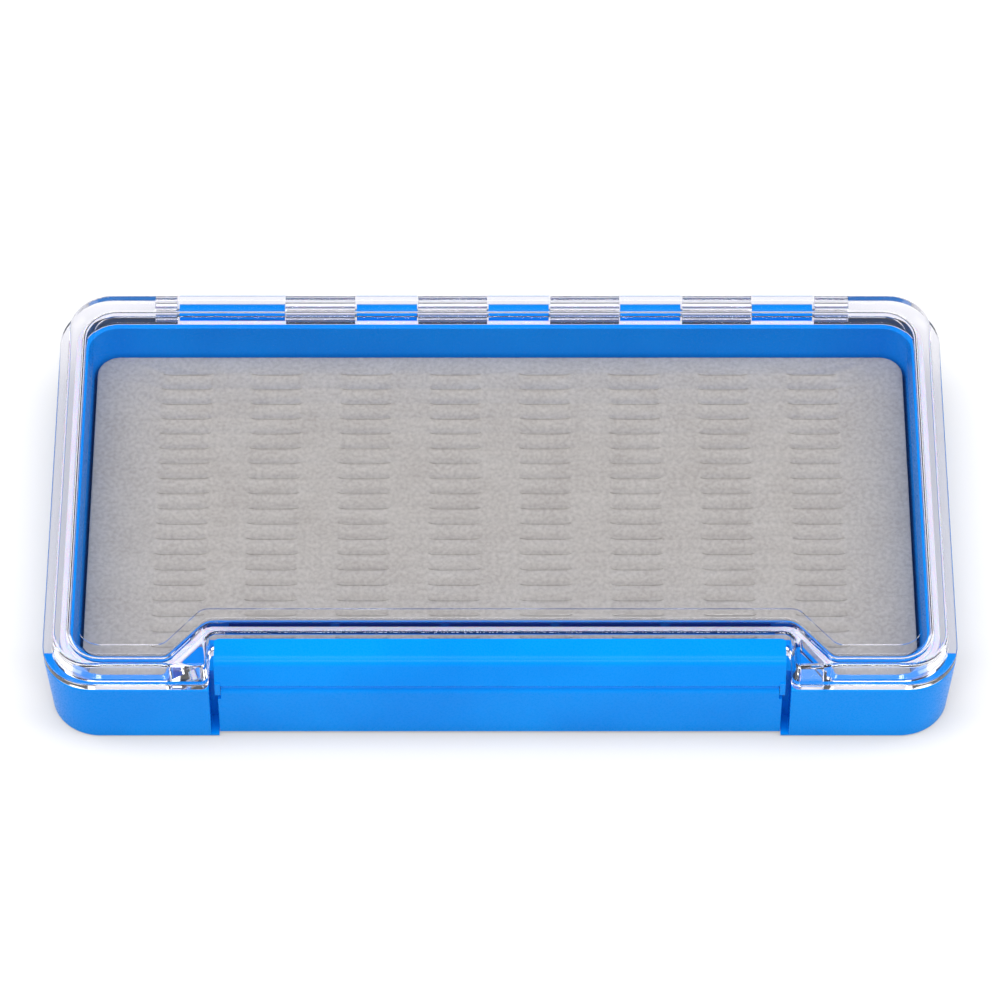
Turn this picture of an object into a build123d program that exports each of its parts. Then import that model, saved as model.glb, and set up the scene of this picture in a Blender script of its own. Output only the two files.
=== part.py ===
from build123d import *
import os
from math import radians, tan

# Slim jig box: a blue tray with a clear hinged lid, a wide front latch and a slit silicone pad.
# Millimetres. X runs along the front, Y to the back, Z up. The origin is under the middle of the
# box, on the surface that it stands on.

# Driving dimensions of the tray, its outline measured on the outside of the rim
tray_length = 180.4
tray_depth = 93.6
tray_corner_radius = 7.5
rim_height = 16.8
rim_thickness = 1.2
rim_edge_radius = 0.3
floor_thickness = 2.0
inner_draft = 4.0
floor_back_shift = 0.5
outer_draft = 3.0
tray_foot_radius = 1.5

# Shelf outside the rim, which the seal sits on
shelf_height = 14.6
shelf_width = 1.5

# Where the front blocks meet the lid
parting_height = 16.4
lid_gap = 0.1
front_reach = 4.2
side_reach = 5.0
back_reach = 4.8
outer_corner_radius = 10.5
block_reach_back = 9.0
block_foot_radius = 0.5
block_top_radius = 0.35
block_side_draft = 4.5
block_front_draft = 0.5

# Seal ring
seal_width = 1.3
seal_fit = 0.05
seal_edge_radius = 0.3

# Lid
lid_top_height = 23.3
flange_thickness = 1.9
flange_edge_radius = 0.35
rim_gap = 0.2
dome_side_step = 1.7
dome_front_step = 0.7
dome_back_step = 0.7
dome_corner_radius = 9.5
dome_draft = 5.0
top_thickness = 1.9
cavity_draft = 3.0
cavity_edge_radius = 1.2
border_width = 2.6
border_step = 0.4
top_edge_radius = 0.8

# Latch bay in the front of the lid and the tray
bay_width = 120.8
bay_depth = 9.2
bay_wall = 3.0
bay_corner_radius = 1.6
shoulder_angle = 50.0
shoulder_inset = 0.4
shoulder_pocket_wall = 1.5
shoulder_pocket_radius = 0.6
shoulder_radius = 3.0
bay_tab_thickness = 0.9
bay_tab_gap = 0.1

# Hinge
hinge_reach = 3.6
hinge_height = 16.2
barrel_radius = 1.8
hinge_pin_radius = 0.8
hinge_pin_chamfer = 0.2
pin_running_fit = 0.05
hinge_start = -74.9
hinge_end = 75.7
knuckle_width = 13.1
knuckle_pitch = 28.65
first_knuckle = -24.6
knuckle_count = 4
wide_knuckle_start = -69.7
wide_knuckle_width = 22.9
wide_knuckle_web = 11.1
knuckle_side_gap = 0.3
knuckle_round_gap = 0.3
knuckle_bay_reach = 3.8
web_top_drop = 0.2

# Latch flap and latch plate
latch_setback = 1.0
latch_wall = 1.5
flap_end_gap = 1.2
flap_rear_gap = 0.9
seam_height = 16.1
seam_gap = 0.45
seam_edge_radius = 0.45
flap_lean = 1.5
flap_edge_radius = 2.0
flap_inner_radius = 0.5
flap_lip_depth = 1.4
flap_corner_radius = 1.0
latch_pin_radius = 0.8
latch_pin_chamfer = 0.2
latch_barrel_radius = 1.7
arm_width = 1.15
arm_gap = 0.08
arm_swing_gap = 0.12
plate_end_gap = 1.8
plate_depth = 4.0
plate_back_gap = 0.2
plate_foot = 0.3
plate_wall = 1.6
plate_bottom_radius = 0.5
plate_nose_fit = 0.05
catch_width = 111.0
catch_depth = 1.4
catch_thickness = 1.2
catch_nose = 0.35
catch_gap = 0.2
ledge_reach = 6.0
ledge_end_gap = 0.75
tongue_count = 4
tongue_pitch = 30.0
tongue_width = 8.0
tongue_thickness = 2.4
tongue_depth = 1.4
tongue_height = 6.0
tongue_fit = 0.1

# Pockets under the front of the tray
bay_back_wall = 1.8
pocket_wall = 1.8
pocket_roof = 2.0
pocket_pitch = 23.0
pocket_count = 5

# Pad and its backing
pad_thickness = 5.7
backing_thickness = 0.3
pad_edge_gap = 0.35
slit_length = 11.0
slit_width = 0.3
slit_depth = 2.0
slit_columns = 8
slit_rows = 19
slit_column_pitch = 19.4
slit_row_pitch = 4.1
first_slit_row_inset = 5.2

# How near a corner has to be to the place that it is picked by
pick_reach = 0.01

# Places worked out from the sizes above
case_depth = front_reach + tray_depth + hinge_reach + barrel_radius
front_face = -case_depth / 2
rim_front = front_face + front_reach
rim_back = rim_front + tray_depth
hinge_line = rim_back + hinge_reach
flange_back = rim_back + back_reach
outer_length = tray_length + 2 * side_reach
bay_back = front_face + bay_depth
rim_bay = bay_back + bay_wall + seal_width
shoulder_run = (rim_bay - rim_front) / tan(radians(shoulder_angle))
lid_bottom = parting_height + lid_gap
flange_top = lid_bottom + flange_thickness
latch_face = front_face + latch_setback
latch_axis_y = latch_face + latch_barrel_radius
latch_axis_z = seam_height - seam_gap - latch_barrel_radius
latch_axis_plane = Plane(origin=(0, latch_axis_y, latch_axis_z), x_dir=(0, 1, 0), z_dir=(1, 0, 0))
hinge_plane = Plane(origin=(0, hinge_line, hinge_height), x_dir=(0, 1, 0), z_dir=(1, 0, 0))
flap_half = bay_width / 2 - flap_end_gap
plate_half = bay_width / 2 - plate_end_gap
arm_inner = flap_half - arm_width
bay_floor_back = latch_face + plate_depth + plate_back_gap
deep = 2 * (lid_top_height + case_depth)


def tray_plan(grow, height, back_shift=0):
    """The tray's outline seen from above, grown outwards and placed at a height."""
    half = tray_length / 2 + grow
    back = rim_back + grow + back_shift
    slant = grow * tan(radians(shoulder_angle / 2))
    front_x = bay_width / 2 + shoulder_inset + shoulder_run - slant
    bay_x = bay_width / 2 + shoulder_inset - slant
    with BuildSketch(Plane.XY.offset(height), mode=Mode.PRIVATE) as plan:
        with BuildLine():
            Polyline(
                (-half, back),
                (-half, rim_front - grow),
                (-front_x, rim_front - grow),
                (-bay_x, rim_bay - grow),
                (bay_x, rim_bay - grow),
                (front_x, rim_front - grow),
                (half, rim_front - grow),
                (half, back),
                close=True,
            )
        make_face()
        corners = [v for v in plan.vertices() if abs(v.X) > half - pick_reach]
        fillet(corners, tray_corner_radius + grow)
        bends = [v for v in plan.vertices() if abs(v.X) < front_x + pick_reach]
        fillet(bends, shoulder_radius)
    return plan.sketch


def lid_plan(side_step, front_step, back_step, corner_radius, height):
    """The lid's outline with its latch bay, stepped in from the flange's edge."""
    half = outer_length / 2 - side_step
    front = front_face + front_step
    back = flange_back - back_step
    bay_x = bay_width / 2
    with BuildSketch(Plane.XY.offset(height), mode=Mode.PRIVATE) as plan:
        with BuildLine():
            Polyline(
                (-half, back),
                (-half, front),
                (-bay_x, front),
                (-bay_x, bay_back),
                (bay_x, bay_back),
                (bay_x, front),
                (half, front),
                (half, back),
                close=True,
            )
        make_face()
        corners = [v for v in plan.vertices() if abs(v.X) > half - pick_reach]
        fillet(corners, corner_radius)
        bends = [v for v in plan.vertices() if abs(v.X) < bay_x + pick_reach]
        fillet(bends, bay_corner_radius)
    return plan.sketch


def knuckle_spans(gap):
    """Where the tray's knuckles lie along the hinge, each with a gap added at both ends."""
    spans = [(wide_knuckle_start, wide_knuckle_width)]
    for number in range(knuckle_count):
        spans.append((first_knuckle + number * knuckle_pitch - knuckle_width / 2, knuckle_width))
    return [(start - gap, width + 2 * gap) for start, width in spans]


def finish(piece, name):
    """Label a finished piece and write its STEP file."""
    piece.label = name
    export_step(piece, f"parts/{name}.step")
    print(name, "volume", round(piece.volume, 1), "solids", len(piece.solids()))


os.makedirs("parts", exist_ok=True)

# Front bar of the tray with its two rounded corner blocks, drawn in more at the ends than in front
with BuildPart() as front_bar:
    side_inset = parting_height * tan(radians(block_side_draft))
    front_inset = parting_height * tan(radians(block_front_draft))
    for height, side, front in ((0, side_inset, front_inset), (parting_height, 0, 0)):
        with BuildSketch(Plane.XY.offset(height)):
            with Locations((0, front_face + front)):
                RectangleRounded(
                    outer_length - 2 * side,
                    case_depth,
                    outer_corner_radius - front,
                    align=(Align.CENTER, Align.MIN),
                )
    loft()
    with Locations((0, front_face + block_reach_back, 0)):
        Box(
            2 * outer_length,
            2 * case_depth,
            2 * deep,
            align=(Align.CENTER, Align.MIN, Align.CENTER),
            mode=Mode.SUBTRACT,
        )
    foot = front_bar.faces().sort_by(Axis.Z)[0]
    fillet(foot.edges().sort_by(Axis.Y)[:-1], block_foot_radius)
    crown = front_bar.faces().sort_by(Axis.Z)[-1]
    fillet(crown.edges().sort_by(Axis.Y)[:-1], block_top_radius)

# Tray: one blue moulding
with BuildPart() as base_tray:
    # Tub below the shelf, drawn in towards the foot
    extrude(tray_plan(shelf_width, shelf_height), amount=-shelf_height, taper=outer_draft)
    fillet(base_tray.faces().sort_by(Axis.Z)[0].outer_wire().edges(), tray_foot_radius)
    add(front_bar.part)
    # Bay that takes the latch plate
    bay_cut = 2 * (bay_floor_back - front_face)
    with Locations((0, front_face, bay_tab_thickness + deep / 2)):
        Box(bay_width, bay_cut, deep, mode=Mode.SUBTRACT)
    with Locations((0, front_face, 0)):
        Box(2 * (plate_half + bay_tab_gap), bay_cut, 2 * deep, mode=Mode.SUBTRACT)
    # Seal shelf and rim
    extrude(tray_plan(shelf_width, shelf_height), amount=rim_height, mode=Mode.SUBTRACT)
    extrude(tray_plan(0, shelf_height - rim_thickness), amount=rim_height - shelf_height + rim_thickness)
    # Inside of the tray, its back wall drawn in less than the others
    floor_grow = -rim_thickness - (rim_height - floor_thickness) * tan(radians(inner_draft))
    loft(
        [tray_plan(-rim_thickness, rim_height), tray_plan(floor_grow, floor_thickness, floor_back_shift)],
        mode=Mode.SUBTRACT,
    )
    rim_top = base_tray.faces().filter_by(Axis.Z).sort_by(Axis.Z)[-1]
    fillet(rim_top.edges(), rim_edge_radius)
    # Pockets under the front bar
    pocket_back = rim_bay - shelf_width - pocket_wall
    pocket_front = bay_floor_back + bay_back_wall
    pocket_tall = parting_height - pocket_roof
    with Locations((0, (pocket_front + pocket_back) / 2, 0)):
        with GridLocations(pocket_pitch, 0, pocket_count, 1):
            Box(
                pocket_pitch - pocket_wall,
                pocket_back - pocket_front,
                2 * pocket_tall,
                mode=Mode.SUBTRACT,
            )
    # Slots for the latch plate's tongues
    with Locations((0, bay_floor_back, tongue_height)):
        with GridLocations(tongue_pitch, 0, tongue_count, 1):
            Box(
                tongue_width + 2 * tongue_fit,
                2 * bay_back_wall,
                tongue_thickness + 2 * tongue_fit,
                mode=Mode.SUBTRACT,
            )
    # Hinge knuckles, each with a web to the tub
    for start, width in knuckle_spans(0):
        with BuildSketch(hinge_plane.offset(start)):
            Circle(barrel_radius)
        extrude(amount=width)
        web = wide_knuckle_web if width == wide_knuckle_width else width
        web_left = shelf_width - hinge_reach
        with BuildSketch(hinge_plane.offset(start)):
            with BuildLine():
                Polyline(
                    (web_left - shelf_width, shelf_height - hinge_height),
                    (web_left, shelf_height - hinge_height),
                    (web_left, -web_top_drop),
                    (0, -web_top_drop),
                    (0, -barrel_radius),
                    (web_left, -barrel_radius),
                    (web_left - shelf_width, -2 * barrel_radius),
                    close=True,
                )
            make_face()
        extrude(amount=web)
    with BuildSketch(hinge_plane.offset(hinge_start)):
        Circle(hinge_pin_radius + pin_running_fit)
    extrude(amount=hinge_end - hinge_start, mode=Mode.SUBTRACT)
finish(base_tray.part, "base_tray")

# Inside of the lid, rounded where its walls meet the top
with BuildPart() as lid_hollow:
    extrude(tray_plan(rim_gap, lid_bottom), amount=lid_top_height - top_thickness - lid_bottom, taper=cavity_draft)
    fillet(lid_hollow.faces().sort_by(Axis.Z)[-1].outer_wire().edges(), cavity_edge_radius)

# Lid: one clear moulding
with BuildPart() as lid:
    extrude(lid_plan(0, 0, 0, outer_corner_radius, lid_bottom), amount=flange_thickness)
    fillet(lid.faces().filter_by(Axis.Z).edges(), flange_edge_radius)
    extrude(
        lid_plan(dome_side_step, dome_front_step, dome_back_step, dome_corner_radius, lid_bottom),
        amount=lid_top_height - lid_bottom,
        taper=dome_draft,
    )
    fillet(lid.faces().sort_by(Axis.Z)[-1].outer_wire().edges(), top_edge_radius)
    # Shallow field in the top, inside the raised border
    extrude(tray_plan(-border_width, lid_top_height), amount=-border_step, mode=Mode.SUBTRACT)
    add(lid_hollow.part, mode=Mode.SUBTRACT)
    # Pockets that thin the solid shoulders beside the bay
    pocket_x = bay_width / 2 + shoulder_pocket_wall
    pocket_y = front_face + dome_front_step + shoulder_pocket_wall
    pocket_lean = (rim_gap + shoulder_pocket_wall) / tan(radians(90 - shoulder_angle / 2))
    pocket_far_x = bay_width / 2 + shoulder_inset + shoulder_run - pocket_lean
    pocket_far_y = rim_bay - (rim_gap + shoulder_pocket_wall) - shoulder_pocket_wall
    for side in (-1, 1):
        with BuildSketch(Plane.XY.offset(lid_bottom)) as pocket_plan:
            with BuildLine():
                Polyline(
                    (side * pocket_x, pocket_y),
                    (side * pocket_far_x, pocket_y),
                    (side * pocket_x, pocket_far_y),
                    close=True,
                )
            make_face()
            fillet(pocket_plan.vertices(), shoulder_pocket_radius)
        extrude(amount=lid_top_height - top_thickness - lid_bottom, taper=cavity_draft, mode=Mode.SUBTRACT)
    # Ledge in the bay, which the flap's catch holds down
    ledge_half = arm_inner - ledge_end_gap
    with BuildSketch(Plane.XY.offset(lid_bottom)):
        with Locations((0, bay_back + bay_wall / 2)):
            Rectangle(2 * ledge_half, ledge_reach + bay_wall / 2, align=(Align.CENTER, Align.MAX))
    extrude(amount=flange_thickness)
    # Hinge barrel with clear ways for the tray's knuckles
    with BuildSketch(hinge_plane.offset(hinge_start)):
        Circle(barrel_radius)
    extrude(amount=hinge_end - hinge_start)
    for start, width in knuckle_spans(knuckle_side_gap):
        with BuildSketch(hinge_plane.offset(start)):
            Circle(barrel_radius + knuckle_round_gap)
            with Locations((-knuckle_bay_reach, -barrel_radius)):
                Rectangle(
                    knuckle_bay_reach + 2 * barrel_radius,
                    lid_top_height - top_thickness - hinge_height + barrel_radius,
                    align=(Align.MIN, Align.MIN),
                )
        extrude(amount=width, mode=Mode.SUBTRACT)
    with BuildSketch(hinge_plane.offset(hinge_start)):
        Circle(hinge_pin_radius + pin_running_fit)
    extrude(amount=hinge_end - hinge_start, mode=Mode.SUBTRACT)
finish(lid.part, "lid")

# Hinge pin: steel rod, chamfered at both ends
with BuildPart() as hinge_pin:
    with BuildSketch(hinge_plane.offset(hinge_start)):
        Circle(hinge_pin_radius)
    extrude(amount=hinge_end - hinge_start)
    chamfer(hinge_pin.edges().filter_by(GeomType.CIRCLE), hinge_pin_chamfer)
finish(hinge_pin.part, "hinge_pin")

# Seal ring on the shelf round the rim
with BuildPart() as seal_ring:
    seal_height = lid_bottom - seal_fit - shelf_height
    extrude(tray_plan(seal_fit + seal_width, shelf_height), amount=seal_height)
    extrude(tray_plan(seal_fit, shelf_height), amount=seal_height, mode=Mode.SUBTRACT)
    fillet(seal_ring.faces().sort_by(Axis.Z)[-1].edges(), seal_edge_radius)
finish(seal_ring.part, "seal_ring")

# Latch flap: a lipped angle that folds over the front of the lid, hinged at its two arms
flap_rear = bay_back - flap_rear_gap
flap_brow = latch_face + flap_lean


def flap_profile(inset):
    """The flap's outer section, or that section taken in by its wall."""
    with BuildSketch(Plane.YZ, mode=Mode.PRIVATE) as profile:
        with BuildLine():
            Polyline(
                (latch_face + inset, seam_height),
                (flap_brow + inset, lid_top_height - inset),
                (flap_rear, lid_top_height - inset),
                (flap_rear, seam_height),
                close=True,
            )
        make_face()
        # In the sketch's own axes, where X runs to the back and Y runs up
        brow = profile.vertices().sort_by(Axis.Y)[-2:].sort_by(Axis.X)[0]
        fillet(brow, max(flap_edge_radius - inset, flap_inner_radius))
        if inset == 0:
            seam_corner = profile.vertices().sort_by(Axis.Y)[:2].sort_by(Axis.X)[0]
            fillet(seam_corner, seam_edge_radius)
    return profile.sketch


with BuildPart() as latch_flap:
    extrude(flap_profile(0), amount=flap_half, both=True)
    fillet(latch_flap.edges().filter_by(Axis.Z), flap_corner_radius)
    # Inside, open at the back and below
    extrude(flap_profile(latch_wall), amount=arm_inner, both=True, mode=Mode.SUBTRACT)
    with Locations((0, flap_rear, (seam_height + lid_top_height) / 2 - flap_lip_depth)):
        Box(
            2 * deep,
            2 * (ledge_reach - flap_rear_gap - flap_lip_depth / 2),
            lid_top_height - seam_height,
            mode=Mode.SUBTRACT,
        )
    # Catch that snaps over the lid's ledge
    catch_low = flange_top + catch_gap
    catch_back = bay_back - ledge_reach + catch_depth / 2
    with BuildSketch(Plane.YZ):
        with BuildLine():
            Polyline(
                (latch_face + latch_wall / 2, catch_low),
                (catch_back - catch_nose, catch_low),
                (catch_back, catch_low + catch_thickness / 2),
                (latch_face + latch_wall, catch_low + 2 * catch_thickness),
                close=True,
            )
        make_face()
    extrude(amount=catch_width / 2, both=True)
    # Arms down to the pin
    for side in (-1, 1):
        inner = side * arm_inner
        with BuildSketch(latch_axis_plane.offset(inner)):
            Circle(latch_barrel_radius)
            with Locations((0, (seam_height + catch_thickness - latch_axis_z) / 2)):
                Rectangle(2 * latch_barrel_radius, seam_height + catch_thickness - latch_axis_z)
            Circle(latch_pin_radius + pin_running_fit, mode=Mode.SUBTRACT)
        extrude(amount=side * arm_width)
finish(latch_flap.part, "latch_flap")

# Latch plate: closes the bay below the seam and carries the flap's pin
with BuildPart() as latch_plate:
    plate_top = latch_axis_z + latch_barrel_radius
    plate_nose_radius = latch_barrel_radius - plate_nose_fit
    plate_back = latch_face + plate_depth
    with BuildSketch(Plane.YZ):
        with BuildLine():
            Polyline(
                (latch_face, plate_foot),
                (latch_face, plate_top),
                (plate_back, plate_top),
                (plate_back, plate_foot),
                close=True,
            )
        make_face()
    extrude(amount=plate_half, both=True)
    front_ends = latch_plate.edges().filter_by(Axis.X).group_by(Axis.Y)[0]
    fillet(front_ends.sort_by(Axis.Z)[-1], plate_nose_radius)
    fillet(latch_plate.edges().filter_by(Axis.X).group_by(Axis.Y)[0].sort_by(Axis.Z)[0], plate_bottom_radius)
    # Room for the flap's arms at both ends
    arm_room = plate_half - arm_inner + arm_gap
    arm_low = latch_axis_z - latch_barrel_radius - arm_swing_gap
    for side in (-1, 1):
        with Locations((side * (plate_half + deep / 2 - arm_room), 0, arm_low + deep / 2)):
            Box(deep, 2 * deep, deep, mode=Mode.SUBTRACT)
    # Hollow from behind, below the pin
    with Locations((0, plate_back, (arm_low + plate_foot) / 2)):
        with GridLocations(tongue_pitch, 0, tongue_count - 1, 1):
            Box(
                tongue_pitch - tongue_width - 2 * plate_wall,
                2 * (plate_depth - plate_wall),
                arm_low - plate_foot - 2 * plate_wall,
                mode=Mode.SUBTRACT,
            )
    # Tongues that snap into the tray
    with Locations((0, plate_back, tongue_height)):
        with GridLocations(tongue_pitch, 0, tongue_count, 1):
            Box(tongue_width, 2 * (tongue_depth + plate_back_gap), tongue_thickness)
    with BuildSketch(latch_axis_plane.offset(-plate_half)):
        Circle(latch_pin_radius + pin_running_fit / 2)
    extrude(amount=2 * plate_half, mode=Mode.SUBTRACT)
finish(latch_plate.part, "latch_plate")

# Latch pin: steel rod through the plate and both arms
with BuildPart() as latch_pin:
    with BuildSketch(latch_axis_plane.offset(-flap_half)):
        Circle(latch_pin_radius)
    extrude(amount=2 * flap_half)
    chamfer(latch_pin.edges().filter_by(GeomType.CIRCLE), latch_pin_chamfer)
finish(latch_pin.part, "latch_pin")

# Pad with rows of slits, and the adhesive sheet under it
pad_grow = floor_grow - pad_edge_gap
backing_top = floor_thickness + backing_thickness
with BuildPart() as pad_backing:
    extrude(tray_plan(pad_grow - pad_edge_gap, floor_thickness, floor_back_shift), amount=backing_thickness)
finish(pad_backing.part, "pad_backing")

with BuildPart() as slit_pad:
    extrude(tray_plan(pad_grow, backing_top, floor_back_shift), amount=pad_thickness)
    slit_block_depth = (slit_rows - 1) * slit_row_pitch
    pad_back = rim_back + pad_grow + floor_back_shift
    slit_middle = pad_back - first_slit_row_inset - slit_block_depth / 2
    with BuildSketch(Plane.XY.offset(backing_top + pad_thickness)):
        with Locations((0, slit_middle)):
            with GridLocations(slit_column_pitch, slit_row_pitch, slit_columns, slit_rows):
                Rectangle(slit_length, slit_width)
    extrude(amount=-slit_depth, mode=Mode.SUBTRACT)
finish(slit_pad.part, "slit_pad")
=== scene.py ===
import math

import bmesh
import bpy
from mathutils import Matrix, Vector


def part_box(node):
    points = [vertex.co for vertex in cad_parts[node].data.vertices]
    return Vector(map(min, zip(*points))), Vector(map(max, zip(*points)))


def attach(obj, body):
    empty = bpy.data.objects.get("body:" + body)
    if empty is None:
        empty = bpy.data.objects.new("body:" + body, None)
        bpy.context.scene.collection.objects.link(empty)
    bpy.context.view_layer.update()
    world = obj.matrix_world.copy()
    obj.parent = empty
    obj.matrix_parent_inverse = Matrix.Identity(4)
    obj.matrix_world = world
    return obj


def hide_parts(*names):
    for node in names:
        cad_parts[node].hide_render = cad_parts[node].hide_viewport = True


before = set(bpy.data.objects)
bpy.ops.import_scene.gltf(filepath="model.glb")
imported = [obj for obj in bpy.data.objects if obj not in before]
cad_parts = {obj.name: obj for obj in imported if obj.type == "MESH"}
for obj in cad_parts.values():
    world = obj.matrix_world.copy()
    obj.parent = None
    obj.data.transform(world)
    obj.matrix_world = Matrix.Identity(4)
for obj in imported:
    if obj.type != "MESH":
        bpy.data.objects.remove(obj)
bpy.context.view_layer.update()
bpy.ops.object.select_all(action="DESELECT")

# Camera: the photographed view, square to the front and 52 degrees above the horizon, taken from a
# long way off so that the sides of the case hardly close in towards the back.
look_down = math.radians(52.0)
camera_back = 0.7680
camera_up = 0.9975
lens_mm = 211.0
film_width_mm = 36.0
far_limit = 20.0
bpy.ops.object.camera_add(
    location=(0, -camera_back, camera_up),
    rotation=(math.pi / 2 - look_down, 0, 0),
)
camera = bpy.context.object
camera.data.lens = lens_mm
camera.data.sensor_width = film_width_mm
camera.data.clip_end = far_limit
bpy.context.scene.camera = camera
bpy.context.scene.view_settings.view_transform = "Standard"

# Studio floor: a matt white paper sweep. Close to what stands on it, its colour is painted greyer, a
# painted shade that stands in for the case's soft shadow, and it glows a little to the camera and to
# glass and metal.
sweep_size = 8.0
sweep_drop = 0.00005
shade_reach = 0.020
paper_glow_level = 0.20


def linear(hex_colour):
    """An sRGB colour such as "1B8CF0" as linear red, green, blue and alpha."""
    channels = [int(hex_colour[i:i + 2], 16) / 255 for i in (0, 2, 4)]
    return [c / 12.92 if c <= 0.04045 else ((c + 0.055) / 1.055) ** 2.4 for c in channels] + [1.0]


def new_material(name):
    """An empty node material."""
    material = bpy.data.materials.new(name)
    material.use_nodes = True
    material.node_tree.nodes.clear()
    return material


def node(material, kind, settings=None, links=None):
    """One shader node: its settings and input values, and the sockets that feed its inputs.

    An input is given by its name, or by its place where several share one name.
    """
    made = material.node_tree.nodes.new(kind)
    for name, value in (settings or {}).items():
        if isinstance(name, int) or name in made.inputs:
            made.inputs[name].default_value = value
        else:
            setattr(made, name, value)
    for name, socket in (links or {}).items():
        material.node_tree.links.new(socket, made.inputs[name])
    return made


def show(material, socket):
    """Make a shader the material's surface."""
    node(material, "ShaderNodeOutputMaterial", links={"Surface": socket})


def give(piece, material):
    """Put one material on a whole piece."""
    piece.data.materials.clear()
    piece.data.materials.append(material)


bpy.ops.mesh.primitive_plane_add(size=sweep_size, location=(0, 0, -sweep_drop))
sweep = bpy.context.object
sweep.name = "paper_sweep"
paper = new_material("white_seamless_paper")
# Painted shade: ambient occlusion darkens the paper's colour within shade_reach of the case, standing in
# for a soft shadow.
paper_occlusion = node(paper, "ShaderNodeAmbientOcclusion", {"Distance": shade_reach})
paper_painted_shade = node(paper, "ShaderNodeValToRGB", links={"Fac": paper_occlusion.outputs["AO"]})
paper_painted_shade.color_ramp.elements[0].color = linear("CBC5BB")
paper_painted_shade.color_ramp.elements[0].position = 0.4
paper_painted_shade.color_ramp.elements[1].color = linear("E4E4E4")
paper_matt = node(paper, "ShaderNodeBsdfDiffuse", links={"Color": paper_painted_shade.outputs["Color"]})
paper_glow = node(paper, "ShaderNodeEmission", {"Color": linear("FFFFFF"), "Strength": paper_glow_level})
paper_ray = node(paper, "ShaderNodeLightPath")
paper_direct = node(
    paper,
    "ShaderNodeMath",
    {"operation": "MAXIMUM"},
    {0: paper_ray.outputs["Is Camera Ray"], 1: paper_ray.outputs["Is Transmission Ray"]},
)
paper_watched = node(
    paper,
    "ShaderNodeMath",
    {"operation": "MAXIMUM"},
    {0: paper_direct.outputs[0], 1: paper_ray.outputs["Is Glossy Ray"]},
)
paper_lit = node(paper, "ShaderNodeAddShader", links={0: paper_matt.outputs[0], 1: paper_glow.outputs[0]})
paper_seen = node(
    paper,
    "ShaderNodeMixShader",
    links={0: paper_watched.outputs[0], 1: paper_matt.outputs[0], 2: paper_lit.outputs[0]},
)
show(paper, paper_seen.outputs[0])
give(sweep, paper)

# Studio room: white where it is seen, straight or through the clear lid, and otherwise a pale even
# light. It is nearly dark to a ray that has been mirrored once inside the lid, because such rays
# would lay a white veil over the tray's walls.
room_light = 0.34
room_in_gloss = 0.05
studio = bpy.data.worlds.new("studio")
studio.use_nodes = True
bpy.context.scene.world = studio
sky = studio.node_tree.nodes["Background"]
sky.inputs["Color"].default_value = linear("FFFFFF")
sky_ray = node(studio, "ShaderNodeLightPath")
sky_terms = {socket.name: socket for socket in sky_ray.outputs}
for name, operation, *terms in (
    ("not scattered", "LESS_THAN", "Diffuse Depth", 0.5),
    ("not mirrored", "LESS_THAN", "Glossy Depth", 0.5),
    ("into a second wall", "GREATER_THAN", "Transmission Depth", 2.5),
    ("clear way", "MAXIMUM", "not mirrored", "into a second wall"),
    ("through glass", "MULTIPLY", "Is Transmission Ray", "clear way"),
    ("watched", "MAXIMUM", "Is Camera Ray", "through glass"),
    ("seen", "MULTIPLY", "not scattered", "watched"),
    ("gloss left over", "SUBTRACT", "Is Glossy Ray", "seen"),
    ("dim", "MAXIMUM", "gloss left over", 0.0),
    ("unseen level", "MULTIPLY_ADD", "dim", room_in_gloss - room_light, room_light),
    ("level", "MULTIPLY_ADD", "seen", 1.0 - room_light, "unseen level"),
):
    values = {place: term for place, term in enumerate(terms) if isinstance(term, float)}
    feeds = {place: sky_terms[term] for place, term in enumerate(terms) if isinstance(term, str)}
    sky_step = node(studio, "ShaderNodeMath", {"operation": operation, **values}, feeds)
    sky_terms[name] = sky_step.outputs[0]
studio.node_tree.links.new(sky_terms["level"], sky.inputs["Strength"])


# Studio lamps: a wide softbox overhead, one at each side, and a narrow strip high in front that
# draws a bright line along the latch and the lid's edges.
def softbox(name, place, size, power):
    """A rectangular area lamp that faces the case."""
    across = math.atan2(place[0], place[2])
    along = math.atan2(-place[1], math.hypot(place[0], place[2]))
    bpy.ops.object.light_add(type="AREA", location=place, rotation=(along, across, 0))
    lamp = bpy.context.object
    lamp.name = name
    lamp.data.shape = "RECTANGLE"
    lamp.data.size = size[0]
    lamp.data.size_y = size[1]
    lamp.data.energy = power


softbox("overhead_softbox", place=(0, 0.0, 1.2), size=(1.2, 0.6), power=7.0)
softbox("left_softbox", place=(-0.9, 0.0, 0.7), size=(0.7, 0.7), power=3.0)
softbox("right_softbox", place=(0.9, 0.0, 0.7), size=(0.7, 0.7), power=3.0)
softbox("front_strip", place=(0, -0.9, 1.05), size=(1.4, 0.14), power=8.0)

# Tray, latch flap and latch plate: injection moulded in blue ABS. The mould's fine spark texture
# gives a satin face that breaks the shine, and the colour drifts very slightly where the plastic
# flowed. The grain is drawn coarser than the real one, so that it shows.
flow_mark_mm = 28.0
spark_grain_mm = 0.35
abs_blue = new_material("moulded_blue_abs")
abs_place = node(abs_blue, "ShaderNodeTexCoord")
abs_flow = node(
    abs_blue,
    "ShaderNodeTexNoise",
    {"Scale": 1000 / flow_mark_mm, "Detail": 2.0},
    {"Vector": abs_place.outputs["Object"]},
)
abs_tint = node(abs_blue, "ShaderNodeValToRGB", links={"Fac": abs_flow.outputs["Fac"]})
abs_tint.color_ramp.elements[0].color = linear("008DF3")
abs_tint.color_ramp.elements[0].position = 0.35
abs_tint.color_ramp.elements[1].color = linear("0096FB")
abs_tint.color_ramp.elements[1].position = 0.65
abs_grain = node(
    abs_blue,
    "ShaderNodeTexNoise",
    {"Scale": 1000 / spark_grain_mm, "Detail": 1.0},
    {"Vector": abs_place.outputs["Object"]},
)
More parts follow.
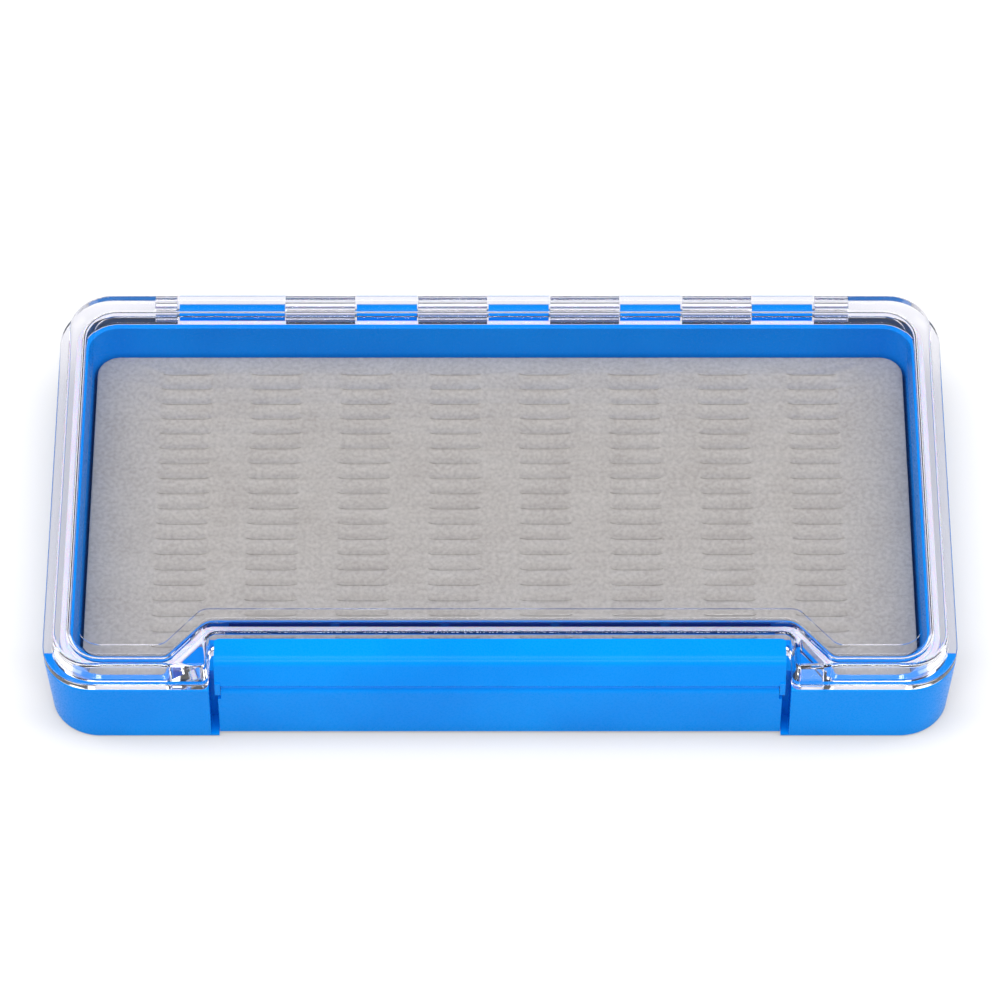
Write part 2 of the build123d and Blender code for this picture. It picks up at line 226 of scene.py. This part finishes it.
abs_rough = node(
    abs_blue,
    "ShaderNodeMapRange",
    {"To Min": 0.22, "To Max": 0.34},
    {"Value": abs_grain.outputs["Fac"]},
)
abs_bump = node(
    abs_blue,
    "ShaderNodeBump",
    {"Strength": 0.05, "Distance": 0.0001},
    {"Height": abs_grain.outputs["Fac"]},
)
abs_skin = node(
    abs_blue,
    "ShaderNodeBsdfPrincipled",
    {"IOR": 1.52, "Specular IOR Level": 0.08},
    {
        "Base Color": abs_tint.outputs["Color"],
        "Roughness": abs_rough.outputs["Result"],
        "Normal": abs_bump.outputs["Normal"],
    },
)
show(abs_blue, abs_skin.outputs[0])
for name in ("base_tray", "latch_flap", "latch_plate"):
    give(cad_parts[name], abs_blue)

# Hinge pin and latch pin: stainless wire, cold drawn, so fine bright lines run along it.
draw_line_mm = 0.12
line_stretch = 0.02
drawn_steel = new_material("drawn_stainless_wire")
steel_place = node(drawn_steel, "ShaderNodeTexCoord")
steel_along = node(
    drawn_steel,
    "ShaderNodeMapping",
    {"Scale": (line_stretch, 1.0, 1.0)},
    {"Vector": steel_place.outputs["Object"]},
)
steel_lines = node(
    drawn_steel,
    "ShaderNodeTexNoise",
    {"Scale": 1000 / draw_line_mm, "Detail": 2.0},
    {"Vector": steel_along.outputs["Vector"]},
)
steel_rough = node(
    drawn_steel,
    "ShaderNodeMapRange",
    {"To Min": 0.18, "To Max": 0.42},
    {"Value": steel_lines.outputs["Fac"]},
)
steel_bump = node(
    drawn_steel,
    "ShaderNodeBump",
    {"Strength": 0.1, "Distance": 0.00005},
    {"Height": steel_lines.outputs["Fac"]},
)
steel_skin = node(
    drawn_steel,
    "ShaderNodeBsdfPrincipled",
    {"Base Color": linear("BDBFC2"), "Metallic": 1.0},
    {"Roughness": steel_rough.outputs["Result"], "Normal": steel_bump.outputs["Normal"]},
)
show(drawn_steel, steel_skin.outputs[0])
for name in ("hinge_pin", "latch_pin"):
    give(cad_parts[name], drawn_steel)

# Lid: one clear moulding in styrene, polished in the mould. It bends the light at every edge, so the
# white paper and the blue tray show as bright and coloured lines in its thick walls. It lets shadow
# and scattered rays straight past, and ends a ray's way inside it after a few bends.
moulding_wave_mm = 14.0
most_bends = 3.5
clear_styrene = new_material("moulded_clear_styrene")
clear_ray = node(clear_styrene, "ShaderNodeLightPath")
clear_place = node(clear_styrene, "ShaderNodeTexCoord")
clear_wave = node(
    clear_styrene,
    "ShaderNodeTexNoise",
    {"Scale": 1000 / moulding_wave_mm, "Detail": 1.0},
    {"Vector": clear_place.outputs["Object"]},
)
clear_bump = node(
    clear_styrene,
    "ShaderNodeBump",
    {"Strength": 0.02, "Distance": 0.001},
    {"Height": clear_wave.outputs["Fac"]},
)
clear_body = node(
    clear_styrene,
    "ShaderNodeBsdfPrincipled",
    {"Base Color": linear("FBFAFF"), "Roughness": 0.02, "IOR": 1.57, "Transmission Weight": 1.0},
    {"Normal": clear_bump.outputs["Normal"]},
)
clear_shade = node(clear_styrene, "ShaderNodeBsdfTransparent", {"Color": linear("F8F8FB")})
clear_light = node(
    clear_styrene,
    "ShaderNodeMath",
    {"operation": "MAXIMUM"},
    {0: clear_ray.outputs["Is Shadow Ray"], 1: clear_ray.outputs["Is Diffuse Ray"]},
)
clear_trapped = node(
    clear_styrene,
    "ShaderNodeMath",
    {"operation": "GREATER_THAN", 1: most_bends},
    {0: clear_ray.outputs["Ray Depth"]},
)
clear_past = node(
    clear_styrene,
    "ShaderNodeMath",
    {"operation": "MAXIMUM"},
    {0: clear_light.outputs[0], 1: clear_trapped.outputs[0]},
)
clear_both = node(
    clear_styrene,
    "ShaderNodeMixShader",
    links={0: clear_past.outputs[0], 1: clear_body.outputs[0], 2: clear_shade.outputs[0]},
)
show(clear_styrene, clear_both.outputs[0])
give(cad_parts["lid"], clear_styrene)

# Seal: a soft ring of translucent silicone, moulded with a rounded back and pressed on to the shelf
# round the rim, where the closed lid rests on it. Light goes a little way in, so it looks milky.
merge_reach = 0.000002
flat_turn = math.radians(0.5)
corner_turn = math.radians(40)
smooth_turn = math.radians(35)


def copy_of(node_name, piece_name):
    """A new piece with the same form as a CAD node, its triangles merged into one skin."""
    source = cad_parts[node_name]
    piece = bpy.data.objects.new(piece_name, source.data.copy())
    bpy.context.collection.objects.link(piece)
    bpy.ops.object.select_all(action="DESELECT")
    piece.select_set(True)
    bpy.context.view_layer.objects.active = piece
    bpy.ops.object.mode_set(mode="EDIT")
    bpy.ops.mesh.select_all(action="SELECT")
    bpy.ops.mesh.remove_doubles(threshold=merge_reach)
    bpy.ops.mesh.dissolve_limited(angle_limit=flat_turn)
    bpy.ops.object.mode_set(mode="OBJECT")
    return piece


def round_edges(piece, radius, steps):
    """Bevel the piece's sharp edges, and shade it smooth."""
    bpy.ops.object.select_all(action="DESELECT")
    piece.select_set(True)
    bpy.context.view_layer.objects.active = piece
    bevel = piece.modifiers.new("soft_edges", "BEVEL")
    bevel.width = radius
    bevel.segments = steps
    bevel.limit_method = "ANGLE"
    bevel.angle_limit = corner_turn
    bpy.ops.object.modifier_apply(modifier=bevel.name)
    bpy.ops.object.shade_smooth_by_angle(angle=smooth_turn)


seal_edge = 0.00025
seal = copy_of("seal_ring", "silicone_seal")
round_edges(seal, seal_edge, steps=3)
seal_bloom_mm = 6.0
seal_silicone = new_material("translucent_silicone")
seal_place = node(seal_silicone, "ShaderNodeTexCoord")
seal_bloom = node(
    seal_silicone,
    "ShaderNodeTexNoise",
    {"Scale": 1000 / seal_bloom_mm, "Detail": 3.0},
    {"Vector": seal_place.outputs["Object"]},
)
seal_rough = node(
    seal_silicone,
    "ShaderNodeMapRange",
    {"To Min": 0.30, "To Max": 0.50},
    {"Value": seal_bloom.outputs["Fac"]},
)
seal_skin = node(
    seal_silicone,
    "ShaderNodeBsdfPrincipled",
    {
        "Base Color": linear("EFEDF7"),
        "IOR": 1.41,
        "Subsurface Weight": 0.5,
        "Subsurface Scale": 0.001,
    },
    {"Roughness": seal_rough.outputs["Result"]},
)
show(seal_silicone, seal_skin.outputs[0])
give(seal, seal_silicone)
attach(seal, "case")
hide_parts("seal_ring")

# Adhesive sheet: thin double-sided film, die cut a little smaller than the pad that it holds down.
# It is a pale, dull sheet with faint flecks of glue.
film_edge = 0.00005
film = copy_of("pad_backing", "adhesive_film")
round_edges(film, film_edge, steps=2)
film_fleck_mm = 1.5
adhesive = new_material("die_cut_adhesive_film")
film_place = node(adhesive, "ShaderNodeTexCoord")
film_fleck = node(
    adhesive,
    "ShaderNodeTexNoise",
    {"Scale": 1000 / film_fleck_mm, "Detail": 2.0},
    {"Vector": film_place.outputs["Object"]},
)
film_tint = node(adhesive, "ShaderNodeValToRGB", links={"Fac": film_fleck.outputs["Fac"]})
film_tint.color_ramp.elements[0].color = linear("D6D4CC")
film_tint.color_ramp.elements[1].color = linear("E6E4DE")
film_skin = node(
    adhesive,
    "ShaderNodeBsdfPrincipled",
    {"Roughness": 0.45, "IOR": 1.47},
    {"Base Color": film_tint.outputs["Color"]},
)
show(adhesive, film_skin.outputs[0])
give(film, adhesive)
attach(film, "case")
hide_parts("pad_backing")

# Pad: soft grey silicone, cast in a sheet and cut with short rows of slits that grip the jigs' hooks.
# Each slit was pressed with a blade, so fine lips stand up along it and its ends turn to the back.
# The cast skin is dull and finely mottled, with a grain drawn coarse enough to show.
pad_low, pad_high = [list(corner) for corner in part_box("slit_pad")]
pad_edge = 0.0003
pad_rounding = ((0.12, 0.45), (0.25, 0.35), (0.4, 0.2))
underside_turn = -0.9
underside_band = 0.0001
slit_columns = 8
slit_rows = 19
slit_column_pitch = 0.0194
slit_row_pitch = 0.0041
back_row_inset = 0.0052
slit_middle_y = pad_high[1] - back_row_inset - (slit_rows - 1) * slit_row_pitch / 2
slit_length = 0.0110
slit_depth = 0.0020
slit_width = 0.00022
slit_cuts = 11
lip_width = 0.00028
lip_height = 0.00014
lip_rounding = ((0.4, 0.8), (0.3, 0.2), (0.2, -0.2))
end_turn = 0.00045
end_length = 0.0010
pad_smooth_turn = math.radians(40)

pad = copy_of("slit_pad", "slit_silicone_pad")
bpy.ops.object.mode_set(mode="EDIT")
skin = bmesh.from_edit_mesh(pad.data)
for face in skin.faces:
    face_down = face.normal.z < underside_turn
    face_low = face.calc_center_median().z < pad_low[2] + underside_band
    face.select = not (face_down and face_low)
bmesh.update_edit_mesh(pad.data)
bpy.ops.mesh.delete(type="FACE")
bpy.ops.mesh.select_all(action="SELECT")
bpy.ops.mesh.dissolve_limited(angle_limit=flat_turn)
bpy.ops.mesh.select_all(action="SELECT")
bpy.ops.mesh.extrude_region_move(
    TRANSFORM_OT_translate={"value": (0, 0, pad_high[2] - pad_low[2] - pad_edge)}
)
for inset, rise in pad_rounding:
    bpy.ops.mesh.inset(thickness=inset * pad_edge, depth=0)
    bpy.ops.transform.translate(value=(0, 0, rise * pad_edge))
bpy.ops.mesh.delete(type="ONLY_FACE")
bpy.ops.object.mode_set(mode="OBJECT")

outer_x = slit_length / 2 + lip_width
outer_y = slit_width / 2 + lip_width
bpy.ops.object.select_all(action="DESELECT")
bpy.ops.mesh.primitive_plane_add(size=1, location=(0, 0, 0))
slit = bpy.context.object
slit.name = "one_slit"
bpy.ops.object.mode_set(mode="EDIT")
bpy.ops.transform.resize(value=(2 * outer_x, 2 * outer_y, 1))
bpy.ops.mesh.select_all(action="DESELECT")
cut = bmesh.from_edit_mesh(slit.data)
for edge in cut.edges:
    edge.select = abs(edge.verts[0].co.x - edge.verts[1].co.x) > outer_x
bmesh.update_edit_mesh(slit.data)
bpy.ops.mesh.subdivide(number_cuts=slit_cuts)
cut = bmesh.from_edit_mesh(slit.data)
for vert in cut.verts:
    past = max(0.0, abs(vert.co.x) - (outer_x - 2 * end_length)) / (2 * end_length)
    vert.co.y += end_turn * past ** 2
bmesh.update_edit_mesh(slit.data)
bpy.ops.mesh.select_all(action="SELECT")
for inset, rise in lip_rounding:
    bpy.ops.mesh.inset(thickness=inset * lip_width, depth=0)
    bpy.ops.transform.translate(value=(0, 0, rise * lip_height))
bpy.ops.mesh.extrude_region_move(TRANSFORM_OT_translate={"value": (0, 0, -slit_depth)})
bpy.ops.mesh.select_all(action="SELECT")
bpy.ops.transform.translate(
    value=(
        -(slit_columns - 1) * slit_column_pitch / 2,
        slit_middle_y - (slit_rows - 1) * slit_row_pitch / 2,
        pad_high[2],
    )
)
bpy.ops.object.mode_set(mode="OBJECT")
for name, count, step in (
    ("columns", slit_columns, (slit_column_pitch, 0, 0)),
    ("rows", slit_rows, (0, slit_row_pitch, 0)),
):
    repeat = slit.modifiers.new(name, "ARRAY")
    repeat.count = count
    repeat.use_relative_offset = False
    repeat.use_constant_offset = True
    repeat.constant_offset_displace = step
    bpy.ops.object.modifier_apply(modifier=repeat.name)
bpy.ops.object.select_all(action="DESELECT")
slit.select_set(True)
pad.select_set(True)
bpy.context.view_layer.objects.active = pad
bpy.ops.object.join()
bpy.ops.object.mode_set(mode="EDIT")
bpy.ops.mesh.select_mode(type="EDGE")
bpy.ops.mesh.select_all(action="DESELECT")
bpy.ops.mesh.select_non_manifold(
    extend=False,
    use_wire=False,
    use_multi_face=False,
    use_non_contiguous=False,
)
bpy.ops.mesh.fill(use_beauty=True)
bpy.ops.mesh.select_mode(type="VERT")
bpy.ops.mesh.select_all(action="SELECT")
bpy.ops.mesh.normals_make_consistent(inside=False)
bpy.ops.object.mode_set(mode="OBJECT")
bpy.ops.object.shade_smooth_by_angle(angle=pad_smooth_turn)

pad_cloud_mm = 9.0
pad_mottle_mm = 0.9
pad_grain_mm = 0.35
pad_mottle_share = 0.35
cast_silicone = new_material("cast_grey_silicone")
pad_place = node(cast_silicone, "ShaderNodeTexCoord")
pad_cloud = node(
    cast_silicone,
    "ShaderNodeTexNoise",
    {"Scale": 1000 / pad_cloud_mm, "Detail": 2.0},
    {"Vector": pad_place.outputs["Object"]},
)
pad_mottle = node(
    cast_silicone,
    "ShaderNodeTexNoise",
    {"Scale": 1000 / pad_mottle_mm, "Detail": 4.0, "Roughness": 0.6},
    {"Vector": pad_place.outputs["Object"]},
)
pad_grain = node(
    cast_silicone,
    "ShaderNodeTexNoise",
    {"Scale": 1000 / pad_grain_mm, "Detail": 2.0},
    {"Vector": pad_place.outputs["Object"]},
)
pad_base = node(cast_silicone, "ShaderNodeValToRGB", links={"Fac": pad_cloud.outputs["Fac"]})
pad_base.color_ramp.elements[0].color = linear("B1ADA2")
pad_base.color_ramp.elements[0].position = 0.3
pad_base.color_ramp.elements[1].color = linear("BBB8AD")
pad_base.color_ramp.elements[1].position = 0.7
pad_fleck = node(cast_silicone, "ShaderNodeValToRGB", links={"Fac": pad_mottle.outputs["Fac"]})
pad_fleck.color_ramp.elements[0].color = linear("98938B")
pad_fleck.color_ramp.elements[0].position = 0.36
pad_fleck.color_ramp.elements[1].color = linear("D0CCC2")
pad_fleck.color_ramp.elements[1].position = 0.64
# In a colour Mix the share is input 0, the two colours are inputs 6 and 7, and the result is output 2.
pad_tint = node(
    cast_silicone,
    "ShaderNodeMix",
    {"data_type": "RGBA", 0: pad_mottle_share},
    {6: pad_base.outputs["Color"], 7: pad_fleck.outputs["Color"]},
)
pad_bump = node(
    cast_silicone,
    "ShaderNodeBump",
    {"Strength": 0.35, "Distance": 0.0001},
    {"Height": pad_grain.outputs["Fac"]},
)
pad_skin = node(
    cast_silicone,
    "ShaderNodeBsdfPrincipled",
    {"Roughness": 0.7, "IOR": 1.41, "Sheen Weight": 0.05, "Sheen Roughness": 0.5},
    {"Base Color": pad_tint.outputs[2], "Normal": pad_bump.outputs["Normal"]},
)
show(cast_silicone, pad_skin.outputs[0])
give(pad, cast_silicone)
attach(pad, "case")
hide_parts("slit_pad")
